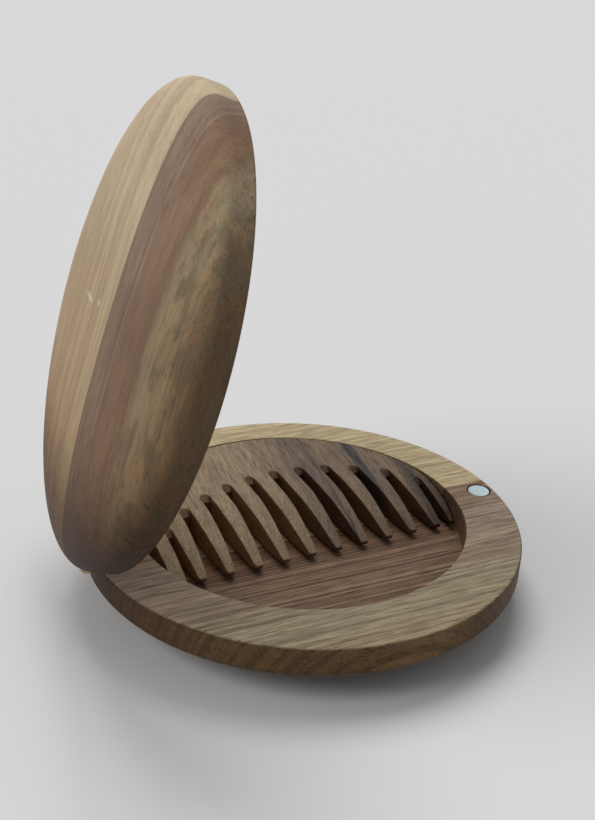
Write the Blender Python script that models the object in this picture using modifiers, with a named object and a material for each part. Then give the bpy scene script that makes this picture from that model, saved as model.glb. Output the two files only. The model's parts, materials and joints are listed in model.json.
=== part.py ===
"""A round wooden folding mirror that holds a half-moon comb in its base. Metres, +Z up.

The origin is the middle of the flat that the base stands on. The hinge is at -X and the magnets
are at +X. The lid stands half open, and the comb lies in the base's pocket.
"""

import math

import bmesh
import bpy
from mathutils import Matrix, Vector

MM = 0.001

# Fits: the gap between pieces that touch, and how far a cutter runs past what it cuts
FIT_GAP = 0.3 * MM
OVERRUN = 2.0 * MM

# The two turned discs
DISC_RADIUS = 47.5 * MM
EDGE_ROUND = 0.6 * MM
BASE_HEIGHT = 12.9 * MM
BASE_BAND = 5.4 * MM
BASE_REST_RADIUS = 29.0 * MM
BASE_CURVE_POWER = 1.3
LID_HEIGHT = 10.4 * MM
LID_BAND = 3.5 * MM
LID_CROWN_RADIUS = 6.4 * MM
LID_CURVE_POWER = 0.71

# The pocket that the comb lies in, bored a little off the disc's middle
RIM_WIDTH = 10.8 * MM
POCKET_DEPTH = 6.4 * MM
POCKET_CENTRE = (-0.3 * MM, 2.1 * MM)
POCKET_EDGE_ROUND = 0.4 * MM

# The comb in its pocket: how loose it is, which side of the pocket it has slid to, and its turn
COMB_LOOSENESS = 0.6 * MM
COMB_SLID_TO = math.radians(58.3)
COMB_TURN = math.radians(8.3)

# The comb, seen from above: its back is a circle trimmed at the left end, its slots lean a little,
# and they end on an ellipse
TIP_LINE = -10.4 * MM
COMB_BACK_WIDTH = 16.5 * MM
COMB_LEFT_TRIM = 2.4 * MM
SLOT_COUNT = 11
SLOT_LEAN = math.radians(1.7)
TEETH_SHIFT = 1.5 * MM
END_MARGIN = 3.8 * MM
SLOT_MOUTH_WIDTH = 4.65 * MM
SLOT_ROOT_WIDTH = 2.5 * MM
SLOT_TAPER_LENGTH = 17.8 * MM
SLOT_TAPER_POWER = 0.75
END_SLOT_OUTER_WIDTH = 0.3 * MM
END_SLOT_RISE = 1.6 * MM
ROOT_ARC_CENTRE = -8.9 * MM
ROOT_ARC_INSET = 0.6 * MM
LEAD_IN_RUN = 1.9 * MM
LEAD_IN_DEPTH = 1.3 * MM

# The comb, seen from its end: both faces close in towards the tips
TOP_TAPER_START = 11.2 * MM
UNDER_TAPER_START = -2.2 * MM
UNDER_TAPER_RISE = 0.9 * MM
TIP_THICKNESS = 0.7 * MM

# The mirror in the lid, and the foam pad that holds it
LID_RIM_WIDTH = 11.2 * MM
MIRROR_THICKNESS = 2.0 * MM
MIRROR_EDGE_ROUND = 0.3 * MM
MIRROR_SINK = 0.2 * MM
PAD_INSET = 6.0 * MM
PAD_THICKNESS = 0.8 * MM

# The pair of magnets
MAGNET_RADIUS = 2.5 * MM
MAGNET_THICKNESS = 2.0 * MM
MAGNET_WALL = 1.2 * MM
MAGNET_TURN = math.radians(2.2)
MAGNET_EDGE_ROUND = 0.25 * MM

# The hinge: two leaves let into the rims, three knuckles and a pin outside the edge
LID_OPEN = math.radians(72.4)
HINGE_STANDOFF = 1.33 * MM
LEAF_WIDTH = 18.0 * MM
LEAF_SETBACK = 2.9 * MM
LEAF_THICKNESS = 0.8 * MM
LEAF_EDGE_ROUND = 0.25 * MM
PIN_RADIUS = 0.6 * MM
KNUCKLE_WALL = 0.5 * MM
MIDDLE_KNUCKLE_SHARE = 0.36

# The hinge's screws, set in from the leaf's sides and from its inner edge
SCREW_SIDE_MARGIN = 3.8 * MM
SCREW_EDGE_MARGIN = 3.2 * MM
SCREW_HEAD_RADIUS = 1.3 * MM
SCREW_HEAD_HEIGHT = 0.7 * MM
SCREW_SHANK_RADIUS = 0.6 * MM
SCREW_LENGTH = 5.0 * MM
SCREW_POINT = 1.0 * MM
SCREW_SLOT_WIDTH = 0.35 * MM
SCREW_SLOT_DEPTH = 0.3 * MM

# Facets
DISC_STEPS = 80
SMALL_STEPS = 24
CURVE_POINTS = 12
ROUND_POINTS = 2
TAPER_POINTS = 10
SLOT_SIDE_POINTS = 7
SLOT_END_POINTS = 8
MERGE = 0.01 * MM

# Places and sizes that follow from these
HINGE_RADIUS = DISC_RADIUS + HINGE_STANDOFF
HINGE_HEIGHT = BASE_HEIGHT + FIT_GAP / 2
KNUCKLE_RADIUS = PIN_RADIUS + FIT_GAP + KNUCKLE_WALL
LEAF_REACH = RIM_WIDTH - LEAF_SETBACK
MAGNET_CIRCLE = DISC_RADIUS - MAGNET_WALL - MAGNET_RADIUS
RECESS_RADIUS = DISC_RADIUS - LID_RIM_WIDTH
RECESS_DEPTH = MIRROR_SINK + MIRROR_THICKNESS + PAD_THICKNESS + 2 * FIT_GAP
MIRROR_RADIUS = RECESS_RADIUS - FIT_GAP
POCKET_RADIUS = DISC_RADIUS - RIM_WIDTH
POCKET_FLOOR = BASE_HEIGHT - POCKET_DEPTH
COMB_RADIUS = POCKET_RADIUS - COMB_LOOSENESS
COMB_THICKNESS = POCKET_DEPTH - FIT_GAP
TOP_TAPER_DROP = COMB_THICKNESS - UNDER_TAPER_RISE - TIP_THICKNESS
SLOT_PITCH = (COMB_RADIUS - END_MARGIN - END_SLOT_OUTER_WIDTH) * 2 / (SLOT_COUNT - 1)
ROOT_ARC_LENGTH = COMB_RADIUS - ROOT_ARC_INSET
ROOT_ARC_HEIGHT = COMB_RADIUS - COMB_BACK_WIDTH - ROOT_ARC_CENTRE


def clear_scene():
    """Remove every object, so that the model starts from nothing."""
    for item in list(bpy.data.objects):
        bpy.data.objects.remove(item, do_unlink=True)


def new_collection(name):
    """Make a collection in the scene."""
    collection = bpy.data.collections.new(name)
    bpy.context.scene.collection.children.link(collection)
    return collection


clear_scene()
PARTS = new_collection("wooden_folding_mirror")
CUTTERS = new_collection("cutters")


def finish(name, colour, roughness, metallic=0.0):
    """Make a material from its colour, roughness and metallic value."""
    material = bpy.data.materials.new(name)
    material.use_nodes = True
    shader = material.node_tree.nodes["Principled BSDF"]
    shader.inputs["Base Color"].default_value = (*colour, 1.0)
    shader.inputs["Roughness"].default_value = roughness
    shader.inputs["Metallic"].default_value = metallic
    return material


def add_part(name, mesh, material, parent=None):
    """Put a mesh into the model as one named sub-part."""
    part = bpy.data.objects.new(name, mesh)
    part.parent = parent
    mesh.materials.append(material)
    mesh.shade_smooth()
    mesh.set_sharp_from_angle(angle=math.radians(35))
    PARTS.objects.link(part)
    return part


def add_cutter(name, mesh, parent=None):
    """Put a mesh among the cutters, which are only guides for Booleans."""
    cutter = bpy.data.objects.new(name, mesh)
    cutter.parent = parent
    cutter.hide_render = True
    cutter.display_type = "WIRE"
    CUTTERS.objects.link(cutter)
    return cutter


def add_pivot(name, location, rotation):
    """Make an empty that carries the pieces of one moving body."""
    pivot = bpy.data.objects.new(name, None)
    pivot.location = location
    pivot.rotation_euler = rotation
    PARTS.objects.link(pivot)
    return pivot


def combine(part, tool, operation="DIFFERENCE"):
    """Cut a part with a tool, or join or overlap the two."""
    modifier = part.modifiers.new(tool.name, "BOOLEAN")
    modifier.operation = operation
    modifier.solver = "EXACT"
    modifier.object = tool


def turn(item, steps):
    """Turn an item's profile round its Z axis."""
    screw = item.modifiers.new("turned", "SCREW")
    screw.axis = "Z"
    screw.steps = steps
    screw.render_steps = steps
    screw.use_merge_vertices = True
    screw.merge_threshold = MERGE
    screw.use_smooth_shade = True


def profile_mesh(name, points):
    """Make a mesh of the edges along a profile's (radius, height) points."""
    mesh = bpy.data.meshes.new(name)
    edges = [(i, i + 1) for i in range(len(points) - 1)]
    mesh.from_pydata([(radius, 0, height) for radius, height in points], edges, [])
    return mesh


def round_corner(centre, radius, start, end):
    """Give the points of an arc round a corner, from one angle in degrees to another."""
    points = []
    for i in range(ROUND_POINTS + 1):
        angle = math.radians(start + (end - start) * i / ROUND_POINTS)
        points.append((centre[0] + radius * math.cos(angle), centre[1] + radius * math.sin(angle)))
    return points


def bellied_side(flat_radius, band, height, power):
    """Give (radius, depth) points from the end of a disc's upright band in to its flat."""
    points = []
    for i in range(CURVE_POINTS + 1):
        angle = math.pi / 2 * i / CURVE_POINTS
        radius = flat_radius + (DISC_RADIUS - flat_radius) * max(0.0, math.cos(angle)) ** power
        depth = band + (height - band) * math.sin(angle) ** power
        points.append((radius, depth))
    return points


def box_mesh(name, low, high):
    """Make a box between two corners."""
    size = Vector(high) - Vector(low)
    middle = (Vector(high) + Vector(low)) / 2
    shape = bmesh.new()
    bmesh.ops.create_cube(shape, size=1.0)
    bmesh.ops.scale(shape, vec=size, verts=shape.verts)
    bmesh.ops.translate(shape, vec=middle, verts=shape.verts)
    mesh = bpy.data.meshes.new(name)
    shape.to_mesh(mesh)
    shape.free()
    return mesh


def cylinder_mesh(name, radius, low, high, steps=SMALL_STEPS, along_y=False):
    """Make a cylinder from one height to another, along Z or along Y."""
    shape = bmesh.new()
    bmesh.ops.create_cone(
        shape, cap_ends=True, segments=steps, radius1=radius, radius2=radius, depth=high - low
    )
    bmesh.ops.translate(shape, vec=(0, 0, (low + high) / 2), verts=shape.verts)
    if along_y:
        quarter = Matrix.Rotation(math.radians(-90), 3, "X")
        bmesh.ops.rotate(shape, cent=(0, 0, 0), matrix=quarter, verts=shape.verts)
    mesh = bpy.data.meshes.new(name)
    shape.to_mesh(mesh)
    shape.free()
    return mesh


def bevel(item, width):
    """Round an item's sharp edges."""
    modifier = item.modifiers.new("rounded", "BEVEL")
    modifier.width = width
    modifier.segments = 2
    modifier.limit_method = "ANGLE"
    modifier.angle_limit = math.radians(50)


def make_base_shell(material):
    """Turn the base disc, with its resting flat, and bore the pocket into it."""
    side = bellied_side(BASE_REST_RADIUS, BASE_BAND, BASE_HEIGHT, BASE_CURVE_POWER)
    outer = (DISC_RADIUS - EDGE_ROUND, BASE_HEIGHT - EDGE_ROUND)
    points = [(0, BASE_HEIGHT)]
    points += round_corner(outer, EDGE_ROUND, 90, 0)
    points += [(radius, BASE_HEIGHT - depth) for radius, depth in side]
    points.append((0, 0))
    shell = add_part("base_shell", profile_mesh("base_shell", points), material)
    turn(shell, DISC_STEPS)

    lip = POCKET_RADIUS + POCKET_EDGE_ROUND
    points = [(0, OVERRUN), (lip, OVERRUN)]
    points += round_corner((lip, -POCKET_EDGE_ROUND), POCKET_EDGE_ROUND, 90, 180)
    points += [(POCKET_RADIUS, -POCKET_DEPTH), (0, -POCKET_DEPTH)]
    pocket = add_cutter("pocket", profile_mesh("pocket", points))
    pocket.location = (*POCKET_CENTRE, BASE_HEIGHT)
    turn(pocket, DISC_STEPS)
    combine(shell, pocket)
    return shell


def make_lid_shell(material, pivot):
    """Turn the lid disc, with the recess for the mirror in its face."""
    side = bellied_side(LID_CROWN_RADIUS, LID_BAND, LID_HEIGHT, LID_CURVE_POWER)
    points = [(0, LID_HEIGHT)]
    points += reversed(side)
    points += round_corner((DISC_RADIUS - EDGE_ROUND, EDGE_ROUND), EDGE_ROUND, 0, -90)
    points += [(RECESS_RADIUS, 0), (RECESS_RADIUS, RECESS_DEPTH), (0, RECESS_DEPTH)]
    shell = add_part("lid_shell", profile_mesh("lid_shell", points), material, pivot)
    shell.location = (HINGE_RADIUS, 0, FIT_GAP / 2)
    turn(shell, DISC_STEPS)
    return shell


def make_mirror(glass, foam, pivot):
    """Turn the mirror glass and the foam pad behind it."""
    edge = MIRROR_EDGE_ROUND
    top = MIRROR_SINK + MIRROR_THICKNESS
    points = [(0, top)]
    points += round_corner((MIRROR_RADIUS - edge, top - edge), edge, 90, 0)
    points += round_corner((MIRROR_RADIUS - edge, MIRROR_SINK + edge), edge, 0, -90)
    points.append((0, MIRROR_SINK))
    mirror = add_part("mirror_glass", profile_mesh("mirror_glass", points), glass, pivot)
    mirror.location = (HINGE_RADIUS, 0, FIT_GAP / 2)
    turn(mirror, DISC_STEPS)

    low = top + FIT_GAP
    radius = MIRROR_RADIUS - PAD_INSET
    mesh = cylinder_mesh("mirror_pad", radius, low, low + PAD_THICKNESS, DISC_STEPS)
    pad = add_part("mirror_pad", mesh, foam, pivot)
    pad.location = (HINGE_RADIUS, 0, FIT_GAP / 2)


def make_magnet(name, shell, face, into_wood, material, parent=None):
    """Set a magnet flush in a shell's face. into_wood is 1 or -1, the way from the face."""
    hole_depth = MAGNET_THICKNESS + FIT_GAP
    low, high = sorted((-OVERRUN * into_wood, hole_depth * into_wood))
    hole_mesh = cylinder_mesh(name + "_hole", MAGNET_RADIUS + FIT_GAP, low, high)
    hole = add_cutter(name + "_hole", hole_mesh, parent)
    hole.location = face
    combine(shell, hole)

    low, high = sorted((0, MAGNET_THICKNESS * into_wood))
    edge = MAGNET_EDGE_ROUND
    points = [(0, high)]
    points += round_corner((MAGNET_RADIUS - edge, high - edge), edge, 90, 0)
    points += round_corner((MAGNET_RADIUS - edge, low + edge), edge, 0, -90)
    points.append((0, low))
    magnet = add_part(name, profile_mesh(name, points), material, parent)
    magnet.location = face
    turn(magnet, SMALL_STEPS)


def knuckle_spans():
    """Give the Y spans of the hinge's middle knuckle and of its two outer ones."""
    middle = LEAF_WIDTH * MIDDLE_KNUCKLE_SHARE / 2
    edge = LEAF_WIDTH / 2
    return [(-middle, middle)], [(-edge, -middle - FIT_GAP), (middle + FIT_GAP, edge)]


def make_leaf(name, side, own_spans, other_spans, material, parent, pin_place):
    """Make one leaf with its knuckles. side is -1 for the leaf below the pin, 1 for the one above.

    Its places are measured from the middle of the pin, which lies along Y.
    """
    face = side * FIT_GAP / 2
    back = face + side * LEAF_THICKNESS
    low = (0, -LEAF_WIDTH / 2, min(face, back))
    high = (HINGE_STANDOFF + LEAF_REACH, LEAF_WIDTH / 2, max(face, back))
    leaf = add_part(name, box_mesh(name, low, high), material, parent)
    leaf.location = pin_place
    bevel(leaf, LEAF_EDGE_ROUND)

    for number, (start, end) in enumerate(own_spans):
        tool_name = f"{name}_knuckle_{number}"
        mesh = cylinder_mesh(tool_name, KNUCKLE_RADIUS, start, end, along_y=True)
        knuckle = add_cutter(tool_name, mesh, parent)
        knuckle.location = pin_place
        combine(leaf, knuckle, "UNION")
    for number, (start, end) in enumerate(other_spans):
        tool_name = f"{name}_clearance_{number}"
        reach = FIT_GAP + (OVERRUN if abs(end) > LEAF_WIDTH / 2 - MERGE else 0)
        near = FIT_GAP + (OVERRUN if abs(start) > LEAF_WIDTH / 2 - MERGE else 0)
        radius = KNUCKLE_RADIUS + FIT_GAP
        mesh = cylinder_mesh(tool_name, radius, start - near, end + reach, along_y=True)
        clearance = add_cutter(tool_name, mesh, parent)
        clearance.location = pin_place
        combine(leaf, clearance)
    bore_end = LEAF_WIDTH / 2 + OVERRUN
    mesh = cylinder_mesh(name + "_bore", PIN_RADIUS + FIT_GAP, -bore_end, bore_end, along_y=True)
    bore = add_cutter(name + "_bore", mesh, parent)
    bore.location = pin_place
    combine(leaf, bore)
    return leaf


def let_in_leaf(shell, name, side, parent, pin_place):
    """Cut the housing for a leaf and the groove for the knuckles into a shell."""
    reach = HINGE_STANDOFF + LEAF_REACH + FIT_GAP
    half = LEAF_WIDTH / 2 + FIT_GAP
    back = side * (FIT_GAP / 2 + LEAF_THICKNESS + FIT_GAP)
    front = -side * OVERRUN
    low = (-OVERRUN, -half, min(back, front))
    high = (reach, half, max(back, front))
    housing = add_cutter(name + "_housing", box_mesh(name + "_housing", low, high), parent)
    housing.location = pin_place
    combine(shell, housing)

    radius = KNUCKLE_RADIUS + FIT_GAP
    mesh = cylinder_mesh(name + "_groove", radius, -half, half, along_y=True)
    groove = add_cutter(name + "_groove", mesh, parent)
    groove.location = pin_place
    combine(shell, groove)


def screw_profile(grow):
    """Give a countersunk screw's profile, head down to point, with its radii grown by a gap."""
    head = SCREW_HEAD_RADIUS + grow
    shank = SCREW_SHANK_RADIUS + grow
    return [
        (0, 0),
        (head, 0),
        (shank, -SCREW_HEAD_HEIGHT),
        (shank, -SCREW_LENGTH + SCREW_POINT),
        (0, -SCREW_LENGTH),
    ]


def make_leaf_screws(prefix, leaf, shell, side, material, parent, pin_place):
    """Drive two screws through a leaf into a shell."""
    spread = LEAF_WIDTH / 2 - SCREW_SIDE_MARGIN
    out = HINGE_STANDOFF + LEAF_REACH - SCREW_EDGE_MARGIN
    for number, across in enumerate((-spread, spread), start=1):
        place = Vector(pin_place) + Vector((out, across, side * FIT_GAP / 2))
        flip = (0, 0, 0) if side < 0 else (math.pi, 0, 0)
        name = f"{prefix}_screw_{number}"

        screw = add_part(name, profile_mesh(name, screw_profile(0)), material, parent)
        screw.location = place
        screw.rotation_euler = flip
        turn(screw, SMALL_STEPS)
        half = SCREW_SLOT_WIDTH / 2
        reach = SCREW_HEAD_RADIUS + OVERRUN
        low = (-half, -reach, -SCREW_SLOT_DEPTH)
        high = (half, reach, OVERRUN)
        slot = add_cutter(name + "_slot", box_mesh(name + "_slot", low, high), parent)
        slot.location = place
        slot.rotation_euler = flip
        combine(screw, slot)

        grown = screw_profile(FIT_GAP)
        points = [(0, OVERRUN), (grown[1][0], OVERRUN)] + grown[1:-1]
        points.append((grown[-2][0], -SCREW_LENGTH - FIT_GAP))
        points.append((0, -SCREW_LENGTH - FIT_GAP))
        hole = add_cutter(name + "_hole", profile_mesh(name + "_hole", points), parent)
        hole.location = place
        hole.rotation_euler = flip
        turn(hole, SMALL_STEPS)
        combine(leaf, hole)
        combine(shell, hole)


def make_hinge(base_shell, lid_shell, brass, steel, pivot):
    """Make the hinge's leaves, pin and screws, and let them into both shells."""
    middle, outer = knuckle_spans()
    axis = (-HINGE_RADIUS, 0, HINGE_HEIGHT)
    at_pivot = (0, 0, 0)
    base_leaf = make_leaf("hinge_base_leaf", -1, outer, middle, brass, None, axis)
    lid_leaf = make_leaf("hinge_lid_leaf", 1, middle, outer, brass, pivot, at_pivot)
    let_in_leaf(base_shell, "base_leaf", -1, None, axis)
    let_in_leaf(lid_shell, "lid_leaf", 1, pivot, at_pivot)
    make_leaf_screws("base_leaf", base_leaf, base_shell, -1, brass, None, axis)
    make_leaf_screws("lid_leaf", lid_leaf, lid_shell, 1, brass, pivot, at_pivot)

    half = LEAF_WIDTH / 2
    mesh = cylinder_mesh("hinge_pin", PIN_RADIUS, -half, half, along_y=True)
    pin = add_part("hinge_pin", mesh, steel)
    pin.location = axis


def slot_half_width(distance):
    """Give half a slot's width at a distance from the teeth's tips."""
    share = min(max(distance / SLOT_TAPER_LENGTH, 0.0), 1.0) ** SLOT_TAPER_POWER
    return (SLOT_MOUTH_WIDTH + (SLOT_ROOT_WIDTH - SLOT_MOUTH_WIDTH) * share) / 2


def root_height(across):
    """Give the place where a slot ends, from its place across the comb."""
    share = min(abs(across) / ROOT_ARC_LENGTH, 1.0)
    return ROOT_ARC_CENTRE + ROOT_ARC_HEIGHT * math.sqrt(1.0 - share**2)


def slot_outline(number, root, roundness):
    """Give a slot's outline. Its end is half round where roundness is 1, and square where it is 0."""
    last = SLOT_COUNT - 1
    centre = (number - last / 2) * SLOT_PITCH
    shoulder = root - LEAD_IN_RUN
    heights = [TIP_LINE - OVERRUN]
    for i in range(SLOT_SIDE_POINTS):
        heights.append(TIP_LINE + (shoulder - TIP_LINE) * i / (SLOT_SIDE_POINTS - 1))

    def half(height, side):
        if (number == 0 and side < 0) or (number == last and side > 0):
            return END_SLOT_OUTER_WIDTH
        return slot_half_width(height - TIP_LINE)

    left = [(centre - half(height, -1), height) for height in heights]
    right = [(centre + half(height, 1), height) for height in heights]
    middle = (left[-1][0] + right[-1][0]) / 2
    reach = (right[-1][0] - left[-1][0]) / 2
    end = []
    for i in range(1, SLOT_END_POINTS):
        angle = math.pi * i / SLOT_END_POINTS
        rise = LEAD_IN_RUN * math.sin(angle) * roundness
        end.append((middle - reach * math.cos(angle), shoulder + rise))
    return left + end + right[::-1]


def slot_root(number):
    """Give the place where a slot ends. The narrow slots at the ends run a little further."""
    last = SLOT_COUNT - 1
    root = root_height((number - last / 2) * SLOT_PITCH)
    if number in (0, last):
        root += END_SLOT_RISE
    return root


def loft_mesh(name, rings):
    """Join rings of points, each as long as the next, into one closed mesh, bottom ring first."""
    shape = bmesh.new()
    loops = [[shape.verts.new(point) for point in ring] for ring in rings]
    count = len(loops[0])
    for lower, upper in zip(loops, loops[1:]):
        for i in range(count):
            j = (i + 1) % count
            shape.faces.new((lower[i], lower[j], upper[j], upper[i]))
    shape.faces.new(reversed(loops[0]))
    shape.faces.new(loops[-1])
    bmesh.ops.recalc_face_normals(shape, faces=shape.faces)
    mesh = bpy.data.meshes.new(name)
    shape.to_mesh(mesh)
    shape.free()
    return mesh


def slot_mesh(number, name):
    """Make one slot's cutter: half round at both faces, square inside, with a slope between."""
    root = slot_root(number)
    round_end = slot_outline(number, root, 1.0)
    square_end = slot_outline(number, root, 0.0)
    levels = [
        (-OVERRUN, round_end),
        (0, round_end),
        (LEAD_IN_DEPTH, square_end),
        (COMB_THICKNESS - LEAD_IN_DEPTH, square_end),
        (COMB_THICKNESS, round_end),
        (COMB_THICKNESS + OVERRUN, round_end),
    ]
    lean = math.tan(SLOT_LEAN)
    rings = []
    for height, outline in levels:
        rings.append([(x + TEETH_SHIFT + (y - TIP_LINE) * lean, y, height) for x, y in outline])
    return loft_mesh(name, rings)


def comb_side_profile():
    """Give the comb's outline seen from its end: (place, height) points round its section."""
    back = COMB_RADIUS + OVERRUN
    top = []
    under = []
    for i in range(TAPER_POINTS + 1):
        share = i / TAPER_POINTS
        place = TOP_TAPER_START + (TIP_LINE - TOP_TAPER_START) * share
        top.append((place, COMB_THICKNESS - TOP_TAPER_DROP * share**2))
        place = UNDER_TAPER_START + (TIP_LINE - UNDER_TAPER_START) * share
        under.append((place, UNDER_TAPER_RISE * share**2))
    return [(back, COMB_THICKNESS)] + top + under[::-1] + [(back, 0)]


def comb_section_mesh():
    """Make the comb's section, as a flat outline, into a bar across the comb."""
    curve = bpy.data.curves.new("comb_section", "CURVE")
    curve.dimensions = "2D"
    curve.fill_mode = "BOTH"
    curve.extrude = COMB_RADIUS + OVERRUN
    points = comb_side_profile()
    spline = curve.splines.new("POLY")
    spline.points.add(len(points) - 1)
    for point, (place, height) in zip(spline.points, points):
        point.co = (place, height, 0, 1)
    spline.use_cyclic_u = True

    section = bpy.data.objects.new("comb_section", curve)
    bpy.context.scene.collection.objects.link(section)
    mesh = bpy.data.meshes.new_from_object(section.evaluated_get(bpy.context.evaluated_depsgraph_get()))
    bpy.data.objects.remove(section, do_unlink=True)

    shape = bmesh.new()
    shape.from_mesh(mesh)
    bmesh.ops.remove_doubles(shape, verts=shape.verts, dist=MERGE)
    stand = Matrix(((0, 0, 1), (1, 0, 0), (0, 1, 0)))
    bmesh.ops.rotate(shape, cent=(0, 0, 0), matrix=stand, verts=shape.verts)
    bmesh.ops.recalc_face_normals(shape, faces=shape.faces)
    shape.to_mesh(mesh)
    shape.free()
    return mesh


def make_comb(material, seat):
    """Make the comb: a tapered bar, cut round at its back, with slots sawn between its teeth."""
    comb = add_part("comb", comb_section_mesh(), material, seat)
    mesh = cylinder_mesh("comb_back", COMB_RADIUS, -OVERRUN, COMB_THICKNESS + OVERRUN, DISC_STEPS)
    back = add_cutter("comb_back", mesh, seat)
    combine(comb, back, "INTERSECT")
    reach = COMB_RADIUS + OVERRUN
    low = (-reach, -reach, -OVERRUN)
    high = (COMB_LEFT_TRIM - COMB_RADIUS, reach, COMB_THICKNESS + OVERRUN)
    trim = add_cutter("comb_left_trim", box_mesh("comb_left_trim", low, high), seat)
    combine(comb, trim)
    for number in range(SLOT_COUNT):
        name = f"comb_slot_{number}"
        slot = add_cutter(name, slot_mesh(number, name), seat)
        combine(comb, slot)


def build():
    """Build every piece of the folding mirror."""
    base_wood = finish("base_wood", (0.24, 0.165, 0.11), 0.5)
    lid_wood = finish("lid_wood", (0.25, 0.18, 0.11), 0.5)
    comb_wood = finish("comb_wood", (0.2, 0.14, 0.09), 0.55)
    glass = finish("silvered_glass", (0.85, 0.87, 0.88), 0.03, 1.0)
    foam = finish("white_foam", (0.8, 0.8, 0.78), 0.9)
    nickel = finish("nickel_plate", (0.72, 0.76, 0.78), 0.25, 1.0)
    brass = finish("brass", (0.72, 0.53, 0.24), 0.32, 1.0)
    steel = finish("steel", (0.55, 0.55, 0.56), 0.3, 1.0)

    lid_pivot = add_pivot("lid_pivot", (-HINGE_RADIUS, 0, HINGE_HEIGHT), (0, -LID_OPEN, 0))
    slid = COMB_LOOSENESS - FIT_GAP
    seat_x = POCKET_CENTRE[0] + slid * math.cos(COMB_SLID_TO)
    seat_y = POCKET_CENTRE[1] + slid * math.sin(COMB_SLID_TO)
    seat_place = (seat_x, seat_y, POCKET_FLOOR + FIT_GAP)
    comb_seat = add_pivot("comb_seat", seat_place, (0, 0, COMB_TURN))

    base_shell = make_base_shell(base_wood)
    lid_shell = make_lid_shell(lid_wood, lid_pivot)
    make_mirror(glass, foam, lid_pivot)
    magnet_x = MAGNET_CIRCLE * math.cos(MAGNET_TURN)
    magnet_y = MAGNET_CIRCLE * math.sin(MAGNET_TURN)
    make_magnet("base_magnet", base_shell, (magnet_x, magnet_y, BASE_HEIGHT), -1, nickel)
    lid_face = (HINGE_RADIUS + magnet_x, magnet_y, FIT_GAP / 2)
    make_magnet("lid_magnet", lid_shell, lid_face, 1, nickel, lid_pivot)
    make_hinge(base_shell, lid_shell, brass, steel, lid_pivot)
    make_comb(comb_wood, comb_seat)


build()
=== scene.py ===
"""The looks of a round wooden folding mirror: two turned discs, a comb, magnets and a brass hinge."""

import json
import math

import bmesh
import bpy
from mathutils import Matrix, Vector, noise


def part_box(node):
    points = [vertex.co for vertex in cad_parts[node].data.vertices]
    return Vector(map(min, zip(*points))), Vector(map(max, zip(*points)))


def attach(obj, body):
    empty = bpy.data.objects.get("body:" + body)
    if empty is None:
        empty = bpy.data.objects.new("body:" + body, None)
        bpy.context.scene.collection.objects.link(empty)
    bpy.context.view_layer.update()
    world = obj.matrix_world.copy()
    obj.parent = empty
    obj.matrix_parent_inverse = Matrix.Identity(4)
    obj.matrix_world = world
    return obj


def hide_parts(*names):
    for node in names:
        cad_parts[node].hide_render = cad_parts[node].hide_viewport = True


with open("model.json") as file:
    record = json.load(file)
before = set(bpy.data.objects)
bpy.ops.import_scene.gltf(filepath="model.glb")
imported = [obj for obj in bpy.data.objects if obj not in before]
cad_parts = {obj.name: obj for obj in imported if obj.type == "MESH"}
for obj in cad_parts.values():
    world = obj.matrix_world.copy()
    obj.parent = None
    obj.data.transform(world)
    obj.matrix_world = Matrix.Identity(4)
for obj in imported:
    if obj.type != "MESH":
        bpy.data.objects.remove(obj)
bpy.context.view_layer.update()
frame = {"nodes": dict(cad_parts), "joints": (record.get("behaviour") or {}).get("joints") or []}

MM = 0.001

# Sizes that follow the frame
BASE_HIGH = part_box("base_shell")[1]
DISC_RADIUS = BASE_HIGH.y
BASE_HEIGHT = BASE_HIGH.z
LID_HINGE = next(joint for joint in frame["joints"] if joint["name"] == "lid_hinge")
HINGE_PLACE = Vector(LID_HINGE["pos_m"])
LID_OPEN = -math.radians(LID_HINGE["range_deg"][0])
LID_TURN = Matrix.Translation(HINGE_PLACE) @ Matrix.Rotation(-LID_OPEN, 4, "Y")

# The two turned discs
GAP = 0.3 * MM
OVERRUN = 2.0 * MM
EDGE_ROUND = 0.6 * MM
BASE_BAND = 5.4 * MM
BASE_REST_RADIUS = 29.0 * MM
BASE_CURVE_POWER = 1.3
LID_HEIGHT = 10.4 * MM
LID_BAND = 3.5 * MM
LID_CROWN_RADIUS = 6.4 * MM
LID_CURVE_POWER = 0.71

# The pocket and the comb's seat in it
POCKET_RADIUS = 36.7 * MM
POCKET_DEPTH = 6.4 * MM
POCKET_CENTRE = Vector((-0.3 * MM, 2.1 * MM, 0))
POCKET_EDGE_ROUND = 0.4 * MM
POCKET_FLOOR_ROUND = 0.5 * MM
COMB_TURN = math.radians(8.3)
COMB_SLID_TO = math.radians(58.3)
COMB_SLID = 0.3 * MM

# The comb
COMB_RADIUS = 36.1 * MM
COMB_THICKNESS = 6.1 * MM
COMB_EDGE_ROUND = 0.22 * MM
COMB_LEFT = -33.7 * MM
TIP_LINE = -10.4 * MM
TIP_CORNER = 0.35 * MM
END_CORNER = TIP_CORNER * 0.6
SLOT_COUNT = 11
SLOT_PITCH = 6.4 * MM
SLOT_LEAN = math.tan(math.radians(1.7))
TEETH_SHIFT = 1.5 * MM
SLOT_MOUTH_WIDTH = 4.65 * MM
SLOT_ROOT_WIDTH = 2.5 * MM
SLOT_TAPER_LENGTH = 17.8 * MM
SLOT_TAPER_POWER = 0.75
END_SLOT_OUTER_WIDTH = 0.3 * MM
END_SLOT_RISE = 1.6 * MM
ROOT_ARC_CENTRE = -8.9 * MM
ROOT_ARC_LENGTH = 35.5 * MM
ROOT_ARC_HEIGHT = 28.5 * MM
LEAD_IN_RUN = 1.9 * MM
LEAD_IN_DEPTH = 1.3 * MM
TOP_TAPER_START = 11.2 * MM
TOP_TAPER_DROP = 4.5 * MM
UNDER_TAPER_START = -2.2 * MM
UNDER_TAPER_RISE = 0.9 * MM
SAW_WANDER = 0.07 * MM
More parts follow.
